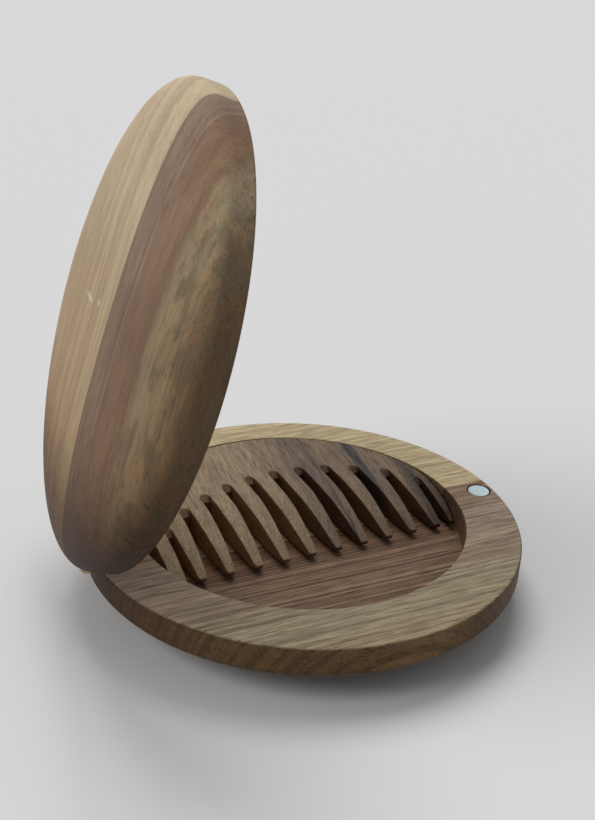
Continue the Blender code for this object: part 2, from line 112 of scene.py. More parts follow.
SAW_WANDER_LENGTH = 4 * MM
MOST_EDGE_SHARE = 0.45
SHARPEST_CORNER = 0.6
LEVEL_STEP = 1.2 * MM

# The mirror in its recess
RECESS_RADIUS = 36.3 * MM
RECESS_DEPTH = 3.6 * MM
MIRROR_RADIUS = 36.0 * MM
MIRROR_THICKNESS = 2.0 * MM
MIRROR_EDGE_ROUND = 0.5 * MM
MIRROR_SINK = 0.2 * MM

# The magnets
MAGNET_RADIUS = 2.5 * MM
MAGNET_THICKNESS = 2.0 * MM
MAGNET_CIRCLE = 43.8 * MM
MAGNET_TURN = math.radians(2.2)
MAGNET_EDGE_ROUND = 0.25 * MM

# The hinge and its screws, with the slots' turns in degrees
LEAF_WIDTH = 18.0 * MM
LEAF_THICKNESS = 0.8 * MM
LEAF_REACH = 7.9 * MM
LEAF_EDGE_ROUND = 0.2 * MM
HINGE_STANDOFF = 1.33 * MM
PIN_RADIUS = 0.6 * MM
KNUCKLE_RADIUS = 1.4 * MM
MIDDLE_KNUCKLE_SHARE = 0.36
SCREW_SIDE_MARGIN = 3.8 * MM
SCREW_EDGE_MARGIN = 3.2 * MM
SCREW_HEAD_RADIUS = 1.3 * MM
SCREW_HEAD_HEIGHT = 0.7 * MM
SCREW_SHANK_RADIUS = 0.6 * MM
SCREW_LENGTH = 5.0 * MM
SCREW_SLOT_WIDTH = 0.35 * MM
SCREW_SLOT_DEPTH = 0.3 * MM
SCREW_SLOT_TURN = 35
SCREW_SLOT_TURN_STEP = 70
SCREW_POINT_START = 0.8

# The lid's middle, measured from the pin with the lid closed
LID_MIDDLE = Vector((DISC_RADIUS + HINGE_STANDOFF, 0, GAP / 2))

# Facets
DISC_STEPS = 240
SMALL_STEPS = 48
CURVE_POINTS = 36
ROUND_POINTS = 5
CORNER_POINTS = 4
COMB_BACK_POINTS = 120
ROOT_POINTS = 14
SHOULDER_STEPS = 5
SANDED_STEPS = 3
LEAF_EDGE_STEPS = 3
MERGE_WITHIN = 0.001 * MM
CUT_WITHIN = 0.08 * MM
SMOOTH_BELOW = math.radians(35)

# What the wooden finishes share
DISC_REACH = 48 * MM
PORE_TINT = (0.48, 0.40, 0.34)
WOOD_SPECULAR = 0.22
GRAIN_RELIEF = 0.05 * MM

# The camera, with its lens and sensor in millimetres
CAMERA_PLACE = (-77.18 * MM, -201.00 * MM, 138.75 * MM)
CAMERA_TURN = [math.radians(angle) for angle in (65.00, -3.05, -18.85)]
CAMERA_LENS = 49.64
SENSOR_WIDTH = 36.0
NEAR_CLIP = 5 * MM

# The stage, in metres, with one shade for what is seen and another for the light sent on
FLOOR_RADIUS = 6.0
FLOOR_STEPS = 96
FLOOR_SEEN = 0.54
FLOOR_LIT = 0.30
FLOOR_ROUGHNESS = 0.7
SKY_SEEN = 0.70
SKY_LIT = 0.37


def clean(name, shape):
    """Close a bmesh into a named mesh object with its faces pointing out."""
    bmesh.ops.recalc_face_normals(shape, faces=shape.faces)
    mesh = bpy.data.meshes.new(name)
    shape.to_mesh(mesh)
    shape.free()
    piece = bpy.data.objects.new(name, mesh)
    bpy.context.scene.collection.objects.link(piece)
    return piece


def arc(centre, radius, start, end, count=ROUND_POINTS):
    """Give the points of an arc, from one angle in degrees to another."""
    points = []
    for i in range(count + 1):
        angle = math.radians(start + (end - start) * i / count)
        points.append((centre[0] + radius * math.cos(angle), centre[1] + radius * math.sin(angle)))
    return points


def lathe(name, profile, steps=DISC_STEPS):
    """Turn a profile of (radius, height) points round the Z axis."""
    shape = bmesh.new()
    verts = [shape.verts.new((radius, 0, height)) for radius, height in profile]
    edges = [shape.edges.new(pair) for pair in zip(verts, verts[1:])]
    bmesh.ops.spin(
        shape, geom=verts + edges, cent=(0, 0, 0), axis=(0, 0, 1), angle=math.tau, steps=steps
    )
    bmesh.ops.remove_doubles(shape, verts=shape.verts, dist=MERGE_WITHIN)
    return clean(name, shape)


def box(name, low, high):
    """Make a box between two corners."""
    size = Vector(high) - Vector(low)
    shape = bmesh.new()
    bmesh.ops.create_cube(shape, size=1.0)
    bmesh.ops.scale(shape, vec=size, verts=shape.verts)
    bmesh.ops.translate(shape, vec=(Vector(low) + Vector(high)) / 2, verts=shape.verts)
    return clean(name, shape)


def rod(name, radius, low, high):
    """Make a rod along Y."""
    shape = bmesh.new()
    bmesh.ops.create_cone(
        shape, cap_ends=True, segments=SMALL_STEPS, radius1=radius, radius2=radius, depth=high - low
    )
    bmesh.ops.translate(shape, vec=(0, 0, (low + high) / 2), verts=shape.verts)
    quarter = Matrix.Rotation(math.radians(-90), 3, "X")
    bmesh.ops.rotate(shape, cent=(0, 0, 0), matrix=quarter, verts=shape.verts)
    return clean(name, shape)


def settle(piece):
    """Apply a piece's modifiers to its mesh."""
    depsgraph = bpy.context.evaluated_depsgraph_get()
    mesh = bpy.data.meshes.new_from_object(piece.evaluated_get(depsgraph))
    piece.modifiers.clear()
    piece.data = mesh


def carve(piece, tool, operation="DIFFERENCE"):
    """Cut a piece with a tool, or join the two, and remove the tool."""
    modifier = piece.modifiers.new("cut", "BOOLEAN")
    modifier.operation = operation
    modifier.solver = "EXACT"
    modifier.object = tool
    settle(piece)
    bpy.data.objects.remove(tool, do_unlink=True)


def place(piece, matrix):
    """Move a piece's mesh by a matrix, so that the object itself stays at the origin."""
    piece.data.transform(matrix)
    return piece


def finish_piece(piece, material, body, slot, *nodes):
    """Shade a piece, give it its material, attach it to the body it rides on, and hide the parts it
    replaces.
    """
    piece.data.materials.clear()
    piece.data.materials.append(material)
    piece.data.shade_smooth()
    piece.data.set_sharp_from_angle(angle=SMOOTH_BELOW)
    weighted = piece.modifiers.new("even_shading", "WEIGHTED_NORMAL")
    weighted.keep_sharp = True
    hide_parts(*nodes)
    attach(piece, body)


class Graph:
    """Adds nodes to one node tree. A number, a colour or a socket can feed any input."""

    def __init__(self, tree):
        self.tree = tree

    def feed(self, target, source):
        """Link a socket to an input, or set the input to a value."""
        if isinstance(source, bpy.types.NodeSocket):
            self.tree.links.new(source, target)
        elif isinstance(source, (tuple, list)) and len(source) == 3 and target.type == "RGBA":
            target.default_value = (*source, 1.0)
        else:
            target.default_value = source

    def node(self, kind, inputs=None, **settings):
        """Add a node with its settings, and feed its named inputs."""
        node = self.tree.nodes.new(kind)
        for name, value in settings.items():
            setattr(node, name, value)
        for name, source in (inputs or {}).items():
            self.feed(node.inputs[name], source)
        return node

    def math(self, operation, *sources):
        """Combine numbers by one operation of Blender's Math node."""
        node = self.node("ShaderNodeMath", operation=operation)
        for target, source in zip(node.inputs, sources):
            self.feed(target, source)
        return node.outputs[0]

    def split(self, vector):
        """Give the three parts of a vector."""
        return self.node("ShaderNodeSeparateXYZ", {"Vector": vector}).outputs

    def join(self, x, y, z):
        """Make a vector, or a shade of grey, from three parts."""
        return self.node("ShaderNodeCombineXYZ", {"X": x, "Y": y, "Z": z}).outputs[0]

    def stretch(self, parts, scales):
        """Scale each part of a place by its own number, and join them."""
        return self.join(*[self.math("MULTIPLY", part, scale) for part, scale in zip(parts, scales)])

    def squares(self, first, second):
        """Give the sum of the squares of two numbers."""
        first = self.math("MULTIPLY", first, first)
        second = self.math("MULTIPLY", second, second)
        return self.math("ADD", first, second)

    def noise(self, vector, scale, detail, roughness=0.5, distortion=0.0):
        """Give cloudy noise over space, from 0 to 1."""
        inputs = {
            "Vector": vector,
            "Scale": scale,
            "Detail": detail,
            "Roughness": roughness,
            "Distortion": distortion,
        }
        return self.node("ShaderNodeTexNoise", inputs).outputs["Fac"]

    def line_noise(self, place, scale, detail):
        """Give noise along one number, from 0 to 1."""
        inputs = {"W": place, "Scale": scale, "Detail": detail}
        return self.node("ShaderNodeTexNoise", inputs, noise_dimensions="1D").outputs["Fac"]

    def between(self, value, low, high, to_low=0.0, to_high=1.0, smooth=True):
        """Carry a value from one range to another, held at the ends."""
        kind = "SMOOTHSTEP" if smooth else "LINEAR"
        inputs = {
            "Value": value,
            "From Min": low,
            "From Max": high,
            "To Min": to_low,
            "To Max": to_high,
        }
        return self.node("ShaderNodeMapRange", inputs, interpolation_type=kind).outputs[0]

    def ramp(self, value, low, high, stops):
        """Colour a value by (place, colour) stops between low and high."""
        node = self.node("ShaderNodeValToRGB")
        self.feed(node.inputs[0], self.between(value, low, high, smooth=False))
        elements = node.color_ramp.elements
        for i, (at, colour) in enumerate(stops):
            share = (at - low) / (high - low)
            element = elements[i] if i < 2 else elements.new(share)
            element.position = share
            element.color = (*colour, 1.0)
        return node.outputs[0]

    def mix(self, share, first, second, blend="MIX"):
        """Blend a share of the second colour into the first."""
        node = self.node("ShaderNodeMix", data_type="RGBA", blend_type=blend)
        self.feed(node.inputs[0], share)
        self.feed(node.inputs[6], first)
        self.feed(node.inputs[7], second)
        return node.outputs[2]

    def group(self, tree, inputs):
        """Place a node group with its own values, and give its outputs."""
        node = self.node("ShaderNodeGroup")
        node.node_tree = tree
        for name, source in inputs.items():
            self.feed(node.inputs[name], source)
        return node.outputs


def new_effect(name, inputs, outputs):
    """Start a shader node group. Gives the graph, its input sockets and its output node."""
    tree = bpy.data.node_groups.new(name, "ShaderNodeTree")
    kinds = {"vector": "NodeSocketVector", "value": "NodeSocketFloat"}
    for title, kind in inputs.items():
        tree.interface.new_socket(title, in_out="INPUT", socket_type=kinds[kind])
    for title in outputs:
        tree.interface.new_socket(title, in_out="OUTPUT", socket_type="NodeSocketFloat")
    graph = Graph(tree)
    source = graph.node("NodeGroupInput")
    target = graph.node("NodeGroupOutput")
    return graph, source.outputs, target.inputs


def make_growth_rings():
    """Give the distance in millimetres from the heart of the tree, which lies along X."""
    sockets = {
        "Vector": "vector",
        "Heart Y": "value",
        "Heart Z": "value",
        "Lean": "value",
        "Bow": "value",
        "Wander": "value",
    }
    graph, given, out = new_effect("growth_rings", sockets, ["Distance"])
    x, y, z = graph.split(given["Vector"])
    slow = graph.stretch((x, y, z), (16.0, 45.0, 45.0))
    wave = graph.math("SUBTRACT", graph.noise(slow, 1.0, 1.5), 0.5)
    wave = graph.math("MULTIPLY", wave, given["Wander"])
    y = graph.math("SUBTRACT", y, given["Heart Y"])
    y = graph.math("SUBTRACT", y, graph.math("MULTIPLY", x, given["Lean"]))
    bow = graph.math("MULTIPLY", graph.math("MULTIPLY", x, x), given["Bow"])
    y = graph.math("ADD", graph.math("ADD", y, bow), wave)
    z = graph.math("SUBTRACT", z, given["Heart Z"])
    distance = graph.math("MULTIPLY", graph.math("SQRT", graph.squares(y, z)), 1 / MM)
    graph.feed(out["Distance"], distance)
    return graph.tree


def make_grain():
    """Give streaks along X, from broad to fine, and short dark pores among them."""
    sockets = {"Vector": "vector", "Lean": "value", "Length": "value", "Width": "value"}
    graph, given, out = new_effect("grain", sockets, ["Streaks", "Fine", "Pores"])
    x, y, z = graph.split(given["Vector"])
    y = graph.math("SUBTRACT", y, graph.math("MULTIPLY", x, given["Lean"]))
    along = graph.math("DIVIDE", x, given["Length"])
    across = graph.math("DIVIDE", y, given["Width"])
    deep = graph.math("DIVIDE", z, given["Width"])
    broad = graph.noise(graph.join(along, across, deep), 1.0, 3.0, 0.6, 0.3)
    graph.feed(out["Streaks"], graph.between(broad, 0.32, 0.68, smooth=False))
    along = graph.math("MULTIPLY", along, 3.0)
    across = graph.math("MULTIPLY", across, 5.0)
    deep = graph.math("MULTIPLY", deep, 5.0)
    fine = graph.noise(graph.join(along, across, deep), 1.0, 2.0, 0.7)
    graph.feed(out["Fine"], graph.between(fine, 0.3, 0.7, smooth=False))
    pores = graph.noise(graph.join(graph.math("MULTIPLY", along, 0.5), across, deep), 1.9, 1.5)
    graph.feed(out["Pores"], graph.between(pores, 0.53, 0.63))
    return graph.tree


def make_mottle():
    """Give soft blotches and small dark specks, a little longer along X than across."""
    sockets = {"Vector": "vector", "Size": "value", "Share": "value"}
    graph, given, out = new_effect("mottle", sockets, ["Blotches", "Specks"])
    x, y, z = graph.split(given["Vector"])
    long = graph.math("DIVIDE", x, graph.math("MULTIPLY", given["Size"], 2.2))
    across = graph.math("DIVIDE", y, given["Size"])
    deep = graph.math("DIVIDE", z, given["Size"])
    cells = graph.join(long, across, deep)
    blotches = graph.noise(cells, 1.0, 3.0, 0.6, 0.4)
    graph.feed(out["Blotches"], graph.between(blotches, 0.42, 0.60))
    specks = graph.noise(cells, 2.6, 2.0, 0.55, 0.6)
    edge = graph.math("SUBTRACT", 0.72, graph.math("MULTIPLY", given["Share"], 0.2))
    graph.feed(out["Specks"], graph.between(specks, edge, graph.math("ADD", edge, 0.12)))
    return graph.tree


def make_scratches():
    """Give a faint web of handling marks for metal and glass."""
    sockets = {"Vector": "vector", "Size": "value"}
    graph, given, out = new_effect("scratches", sockets, ["Marks", "Smears"])
    x, y, z = graph.split(given["Vector"])
    cells = graph.join(*[graph.math("DIVIDE", part, given["Size"]) for part in (x, y, z)])
    smears = graph.noise(cells, 0.6, 3.0, 0.6, 0.5)
    graph.feed(out["Smears"], graph.between(smears, 0.35, 0.7))
    warped = graph.noise(cells, 1.4, 1.0, 0.5, 3.0)
    lines = graph.math("ABSOLUTE", graph.math("SUBTRACT", warped, 0.5))
    graph.feed(out["Marks"], graph.between(lines, 0.0, 0.012, 1.0, 0.0))
    return graph.tree


RINGS = make_growth_rings()
GRAIN = make_grain()
MOTTLE = make_mottle()
SCRATCHES = make_scratches()


def new_material(name):
    """Make an empty material with a Principled shader."""
    material = bpy.data.materials.new(name)
    material.use_nodes = True
    graph = Graph(material.node_tree)
    return material, graph, material.node_tree.nodes["Principled BSDF"]


def own_place(graph, matrix):
    """Give the place on the surface in a piece's own axes, at any pose."""
    coordinates = graph.node("ShaderNodeTexCoord")
    inputs = {
        "Vector": coordinates.outputs["Object"],
        "Location": matrix.to_translation(),
        "Rotation": matrix.to_euler(),
    }
    mapping = graph.node("ShaderNodeMapping", inputs, vector_type="TEXTURE")
    return mapping.outputs[0], coordinates.outputs["Normal"]


def bump(graph, shader, height, distance, strength):
    """Raise a surface by a height map."""
    inputs = {"Height": height, "Distance": distance, "Strength": strength}
    node = graph.node("ShaderNodeBump", inputs)
    graph.feed(shader.inputs["Normal"], node.outputs[0])


def wood_surface(graph, shader, colour, grain, contrast, pores, roughness):
    """Set the finish that every wooden piece shares: satin, with streaks and open pores."""
    tone = graph.between(grain["Streaks"], 0.0, 1.0, 1 - contrast, 1 + contrast, smooth=False)
    fine = graph.between(grain["Fine"], 0.0, 1.0, 1 - contrast, 1 + contrast, smooth=False)
    tone = graph.math("MULTIPLY", tone, fine)
    colour = graph.mix(1.0, colour, graph.join(tone, tone, tone), "MULTIPLY")
    open_pores = graph.math("MULTIPLY", grain["Pores"], pores)
    dark = graph.mix(1.0, colour, PORE_TINT, "MULTIPLY")
    graph.feed(shader.inputs["Base Color"], graph.mix(open_pores, colour, dark))
    rough = graph.between(grain["Fine"], 0.0, 1.0, roughness + 0.08, roughness - 0.04, smooth=False)
    rough = graph.math("ADD", rough, graph.math("MULTIPLY", open_pores, 0.3))
    graph.feed(shader.inputs["Roughness"], rough)
    shader.inputs["Specular IOR Level"].default_value = WOOD_SPECULAR
    height = graph.math("SUBTRACT", graph.math("MULTIPLY", grain["Fine"], 0.4), open_pores)
    bump(graph, shader, height, GRAIN_RELIEF, 0.6)


def make_lid_wood():
    """Finish the lid: a pale sapwood band, a dark line, pink-brown heartwood and olive mottling."""
    material, graph, shader = new_material("lid_wood_finish")
    spot = own_place(graph, LID_TURN @ Matrix.Translation(LID_MIDDLE))[0]
    lean = 0.07
    rings = {"Vector": spot, "Heart Y": -60 * MM, "Heart Z": -20 * MM, "Lean": lean}
    rings = graph.group(RINGS, {**rings, "Bow": 3.0, "Wander": 2.2 * MM})["Distance"]
    grain = graph.group(GRAIN, {"Vector": spot, "Lean": lean, "Length": 34 * MM, "Width": 2.0 * MM})

    heart = graph.ramp(
        rings,
        28,
        62,
        [
            (28, (0.185, 0.122, 0.070)),
            (62, (0.175, 0.120, 0.086)),
            (34, (0.285, 0.205, 0.124)),
            (38, (0.275, 0.200, 0.120)),
            (40.4, (0.265, 0.190, 0.118)),
            (42, (0.205, 0.132, 0.081)),
            (47, (0.210, 0.130, 0.082)),
            (51.9, (0.192, 0.124, 0.082)),
            (52.5, (0.262, 0.186, 0.128)),
            (53.1, (0.196, 0.132, 0.092)),
            (54.4, (0.200, 0.138, 0.098)),
            (54.8, (0.252, 0.182, 0.128)),
            (55.2, (0.208, 0.146, 0.104)),
            (58.5, (0.230, 0.166, 0.118)),
            (60.2, (0.180, 0.126, 0.093)),
        ],
    )
    stripe = graph.between(graph.line_noise(rings, 0.22, 2.0), 0.36, 0.64)
    sap = graph.mix(stripe, (0.455, 0.365, 0.250), (0.395, 0.300, 0.205))
    orange = graph.between(graph.line_noise(rings, 0.5, 1.0), 0.58, 0.70)
    sap = graph.mix(graph.math("MULTIPLY", orange, 0.45), sap, (0.36, 0.245, 0.15))
    edge_glow = graph.between(rings, 62.0, 67.0, 1.0, 0.0)
    sap = graph.mix(graph.math("MULTIPLY", edge_glow, 0.7), sap, (0.46, 0.385, 0.255))
    x, y, z = graph.split(spot)
    rim_shift = graph.between(z, 0.5 * MM, 8 * MM, 3.5, 0.0)
    colour = graph.mix(graph.between(graph.math("ADD", rings, rim_shift), 60.4, 61.3), heart, sap)

    clouds = graph.group(MOTTLE, {"Vector": spot, "Size": 8.0 * MM, "Share": 0.3})
    cloud = graph.math("MULTIPLY", graph.between(rings, 58.0, 61.0, 1.0, 0.25), clouds["Blotches"])
    dusky = graph.mix(1.0, colour, (0.80, 0.76, 0.78), "MULTIPLY")
    colour = graph.mix(graph.math("MULTIPLY", cloud, 0.8), colour, dusky)
    mottle = graph.group(MOTTLE, {"Vector": spot, "Size": 3.2 * MM, "Share": 0.5})
    olive = graph.between(rings, 38.0, 44.5, 1.0, 0.0)
    blotch = graph.math("MULTIPLY", olive, graph.math("MULTIPLY", mottle["Blotches"], 0.85))
    colour = graph.mix(blotch, colour, (0.152, 0.116, 0.074))
    haze = graph.group(MOTTLE, {"Vector": spot, "Size": 5.5 * MM, "Share": 0.5})["Blotches"]
    from_streak = graph.math("ABSOLUTE", graph.math("SUBTRACT", rings, 37.5))
    streak = graph.between(from_streak, 0.6, 5.0, 1.0, 0.0)
    grey = graph.math("MULTIPLY", haze, graph.math("MULTIPLY", streak, 0.75))
    colour = graph.mix(grey, colour, (0.275, 0.230, 0.155))
    speck = graph.math("MULTIPLY", olive, graph.math("MULTIPLY", mottle["Specks"], 0.65))
    colour = graph.mix(speck, colour, (0.062, 0.050, 0.036))
    # Painted shade: the lid's colour darkens towards its hinge end, where it stands in shade; part of
    # it is the wood's own darker colour.
    across = graph.math("MINIMUM", graph.math("ADD", y, 12 * MM), 0.0)
    painted_shade_to_hinge = graph.ramp(
        graph.math("MULTIPLY_ADD", across, 0.35, x),
        -DISC_REACH,
        DISC_REACH,
        [
            (-DISC_REACH, (0.09, 0.05, 0.025)),
            (DISC_REACH, (1.00, 1.00, 0.97)),
            (-36 * MM, (0.25, 0.165, 0.090)),
            (-30 * MM, (0.46, 0.355, 0.24)),
            (-24 * MM, (0.66, 0.55, 0.43)),
            (-16 * MM, (0.77, 0.68, 0.57)),
            (0, (0.83, 0.76, 0.66)),
            (25 * MM, (1.00, 0.98, 0.93)),
        ],
    )
    colour = graph.mix(1.0, colour, painted_shade_to_hinge, "MULTIPLY")
    # Two small pale spots on the lid's outer face.
    colour = graph.mix(make_pale_spots(graph, spot), colour, (0.52, 0.44, 0.33))
    wood_surface(graph, shader, colour, grain, 0.10, 0.32, 0.54)
    return material


def make_pale_spots(graph, spot):
    """Mark two small pale spots on the lid, a long one and a dot beside it."""
    x, y, z = graph.split(spot)
    marks = []
    for middle_x, middle_y, half_x, half_y in ((0.4, 9.8, 0.5, 3.4), (1.9, 2.0, 0.7, 0.8)):
        off_x = graph.math("DIVIDE", graph.math("SUBTRACT", x, middle_x * MM), half_x * MM)
        off_y = graph.math("DIVIDE", graph.math("SUBTRACT", y, middle_y * MM), half_y * MM)
        marks.append(graph.between(graph.squares(off_x, off_y), 0.5, 1.2, 1.0, 0.0))
    outside = graph.between(z, 8 * MM, 9 * MM)
    either = graph.math("MULTIPLY", graph.math("MAXIMUM", *marks), outside)
    return graph.math("MULTIPLY", either, 0.8)


def make_base_wood():
    """Finish the base: pale sapwood at the back, grey-brown heartwood, a green-grey front."""
    material, graph, shader = new_material("base_wood_finish")
    spot, normal = own_place(graph, Matrix.Identity(4))
    lean = 0.12
    rings = {"Vector": spot, "Heart Y": -90 * MM, "Heart Z": -8 * MM, "Lean": lean}
    rings = graph.group(RINGS, {**rings, "Bow": 0.0, "Wander": 1.6 * MM})["Distance"]
    grain = graph.group(GRAIN, {"Vector": spot, "Lean": lean, "Length": 17 * MM, "Width": 1.5 * MM})
    heart = graph.ramp(
        rings,
        44,
        94,
        [
            (44, (0.195, 0.143, 0.088)),
            (94, (0.140, 0.078, 0.048)),
            (52, (0.230, 0.188, 0.120)),
            (60, (0.236, 0.198, 0.128)),
            (63.5, (0.212, 0.170, 0.112)),
            (66, (0.216, 0.162, 0.114)),
            (74, (0.240, 0.180, 0.130)),
            (82, (0.215, 0.160, 0.117)),
            (89, (0.184, 0.124, 0.082)),
            (91.4, (0.200, 0.128, 0.080)),
        ],
    )
    band = graph.between(graph.line_noise(rings, 0.8, 4.0), 0.36, 0.62, 0.84, 1.26)
    heart = graph.mix(1.0, heart, graph.join(band, band, band), "MULTIPLY")
    stripe = graph.between(graph.line_noise(rings, 0.7, 3.0), 0.36, 0.64)
    sap = graph.mix(stripe, (0.425, 0.355, 0.222), (0.355, 0.275, 0.160))
    colour = graph.mix(graph.between(rings, 92.2, 92.8), heart, sap)

    x, y, z = graph.split(spot)
    off_x = graph.math("SUBTRACT", x, POCKET_CENTRE.x)
    off_y = graph.math("SUBTRACT", y, POCKET_CENTRE.y)
    out = graph.math("SQRT", graph.squares(off_x, off_y))
    inside = graph.between(out, POCKET_RADIUS + GAP / 2, POCKET_RADIUS + GAP, 1.0, 0.0)
    below = graph.between(z, BASE_HEIGHT - GAP, BASE_HEIGHT - 2 * GAP)
    inside = graph.math("MULTIPLY", inside, below)
    upright = graph.math("ABSOLUTE", graph.split(normal)[2])
    level = graph.between(upright, 0.6, 0.95)
    line = graph.between(graph.line_noise(rings, 1.6, 4.0), 0.42, 0.62, 0.32, -0.50)
    line = graph.math("MULTIPLY_ADD", line, level, 1.0)
    # Painted shade inside the pocket: its walls and floor are darker, partly as unoiled wood, partly
    # as the shade of the recess.
    raw_and_shaded = graph.mix(1.0, colour, (0.64, 0.53, 0.47), "MULTIPLY")
    raw_and_shaded = graph.mix(1.0, raw_and_shaded, graph.join(line, line, line), "MULTIPLY")
    colour = graph.mix(inside, colour, raw_and_shaded)
    # Painted shade on the outer side wall: darker towards the far left and the far right, partly the
    # wood's own patchy colour.
    rounded = graph.between(upright, 0.45, 0.95, 1.0, 0.0)
    painted_wall_shade = graph.ramp(
        x,
        -DISC_REACH,
        DISC_REACH,
        [
            (-DISC_REACH, (0.14, 0.08, 0.05)),
            (DISC_REACH, (0.34, 0.23, 0.14)),
            (-34 * MM, (0.40, 0.28, 0.19)),
            (-8 * MM, (0.52, 0.37, 0.25)),
            (5 * MM, (0.76, 0.58, 0.40)),
            (12 * MM, (0.80, 0.61, 0.42)),
            (21 * MM, (0.42, 0.28, 0.17)),
        ],
    )
    outside = graph.math("MULTIPLY", rounded, graph.math("SUBTRACT", 1.0, inside))
    colour = graph.mix(outside, colour, graph.mix(1.0, colour, painted_wall_shade, "MULTIPLY"))
    wood_surface(graph, shader, colour, grain, 0.19, 0.80, 0.50)
    return material


def comb_seat():
    """Give the comb's place in the pocket."""
    slid = Vector((math.cos(COMB_SLID_TO), math.sin(COMB_SLID_TO), 0)) * COMB_SLID
    floor = Vector((0, 0, BASE_HEIGHT - POCKET_DEPTH + GAP))
    return Matrix.Translation(POCKET_CENTRE + slid + floor) @ Matrix.Rotation(COMB_TURN, 4, "Z")


def make_comb_wood():
    """Finish the comb: grain along the teeth, golden at the left and streaked black at the right."""
    material, graph, shader = new_material("comb_wood_finish")
    along = comb_seat() @ Matrix.Rotation(math.radians(90), 4, "Z")
    spot, normal = own_place(graph, along)
    lean = -0.146
    grain = graph.group(GRAIN, {"Vector": spot, "Lean": lean, "Length": 13 * MM, "Width": 1.4 * MM})
    x, y, z = graph.split(spot)
    wander = graph.noise(graph.stretch((x, y, z), (55.0, 150.0, 80.0)), 1.0, 2.0)
    wander = graph.math("MULTIPLY", graph.math("SUBTRACT", wander, 0.5), 2.6)
    across = graph.math("SUBTRACT", graph.math("MULTIPLY", x, lean), y)
    across = graph.math("ADD", graph.math("MULTIPLY", across, 1 / MM), wander)
    colour = graph.ramp(
        across,
        -36,
        36,
        [
            (-36, (0.250, 0.184, 0.114)),
            (36, (0.066, 0.046, 0.034)),
            (-18, (0.250, 0.185, 0.117)),
            (-3, (0.216, 0.160, 0.105)),
            (3, (0.176, 0.128, 0.086)),
            (7, (0.132, 0.098, 0.075)),
            (10.6, (0.118, 0.090, 0.070)),
            (11.0, (0.052, 0.036, 0.028)),
            (11.5, (0.136, 0.100, 0.072)),
            (15, (0.168, 0.121, 0.082)),
            (18, (0.150, 0.106, 0.070)),
            (20.4, (0.132, 0.096, 0.066)),
            (21.0, (0.044, 0.040, 0.039)),
            (22.8, (0.042, 0.039, 0.040)),
            (23.6, (0.150, 0.108, 0.077)),
            (26, (0.130, 0.094, 0.068)),
            (28.6, (0.190, 0.132, 0.078)),
            (30.2, (0.108, 0.078, 0.054)),
            (31.6, (0.048, 0.038, 0.032)),
            (33.4, (0.098, 0.070, 0.050)),
        ],
    )
    colour = graph.mix(make_knot(graph, x, y), colour, (0.018, 0.014, 0.012))
    upright = graph.math("ABSOLUTE", graph.split(normal)[2])
    sawn_and_shaded = graph.between(upright, 0.25, 0.65, 1.0, 0.0)
    end_grain = graph.between(graph.math("ABSOLUTE", graph.split(normal)[1]), 0.25, 0.60)
    colour = graph.mix(end_grain, colour, graph.mix(1.0, colour, (0.62, 0.50, 0.42), "MULTIPLY"))
    # Painted shade on the upright faces of the teeth: warmer than the top and darker to the right,
    # partly saw-burnt wood, partly the shade between the teeth.
    side = graph.mix(graph.between(across, -8, 12), (1.00, 0.70, 0.45), (0.62, 0.42, 0.28))
    colour = graph.mix(sawn_and_shaded, colour, graph.mix(1.0, colour, side, "MULTIPLY"))
    wood_surface(graph, shader, colour, grain, 0.19, 0.80, 0.50)
    return material


def make_knot(graph, x, y):
    """Mark the small dark knot near the comb's right end."""
    off_x = graph.math("SUBTRACT", x, 5.6 * MM)
    off_y = graph.math("ADD", y, 32.9 * MM)
    out = graph.math("SQRT", graph.squares(off_x, off_y))
    return graph.between(out, 0.35 * MM, 0.75 * MM, 0.92, 0.0)


def make_metal(name, colour, roughness, size):
    """Finish a metal, with smears and fine marks in its gloss."""
    material, graph, shader = new_material(name)
    spot = own_place(graph, Matrix.Identity(4))[0]
    marks = graph.group(SCRATCHES, {"Vector": spot, "Size": size})
    shader.inputs["Metallic"].default_value = 1.0
    dull = tuple(part * 0.8 for part in colour)
    shade = graph.mix(graph.math("MULTIPLY", marks["Smears"], 0.6), colour, dull)
    graph.feed(shader.inputs["Base Color"], shade)
    rough = graph.between(marks["Smears"], 0.0, 1.0, roughness * 0.8, roughness * 1.4)
    rough = graph.math("ADD", rough, graph.math("MULTIPLY", marks["Marks"], 0.12))
    graph.feed(shader.inputs["Roughness"], rough)
    bump(graph, shader, marks["Marks"], 0.01 * MM, 0.25)
    return material


def make_silvering():
    """Finish the mirror glass, with faint smears in its gloss."""
    material, graph, shader = new_material("mirror_finish")
    spot = own_place(graph, Matrix.Identity(4))[0]
    smears = graph.group(SCRATCHES, {"Vector": spot, "Size": 30 * MM})["Smears"]
    shader.inputs["Base Color"].default_value = (0.86, 0.88, 0.88, 1.0)
    shader.inputs["Metallic"].default_value = 1.0
    graph.feed(shader.inputs["Roughness"], graph.between(smears, 0.0, 1.0, 0.012, 0.035))
    return material


def make_foam():
    """Finish the foam pad behind the mirror."""
    material, graph, shader = new_material("foam_finish")
    spot = own_place(graph, Matrix.Identity(4))[0]
    cells = graph.noise(spot, 2500.0, 2.0)
    graph.feed(shader.inputs["Base Color"], graph.mix(cells, (0.72, 0.72, 0.70), (0.86, 0.86, 0.84)))
    shader.inputs["Roughness"].default_value = 0.9
    bump(graph, shader, cells, 0.08 * MM, 0.8)
    return material


def bellied_side(flat_radius, band, height, power):
    """Give (radius, depth) points from the end of a disc's upright band in to its flat."""
    points = []
    for i in range(CURVE_POINTS + 1):
        angle = math.pi / 4 * (1 - math.cos(math.pi * i / CURVE_POINTS))
        radius = flat_radius + (DISC_RADIUS - flat_radius) * max(0.0, math.cos(angle)) ** power
        points.append((radius, band + (height - band) * math.sin(angle) ** power))
    return points


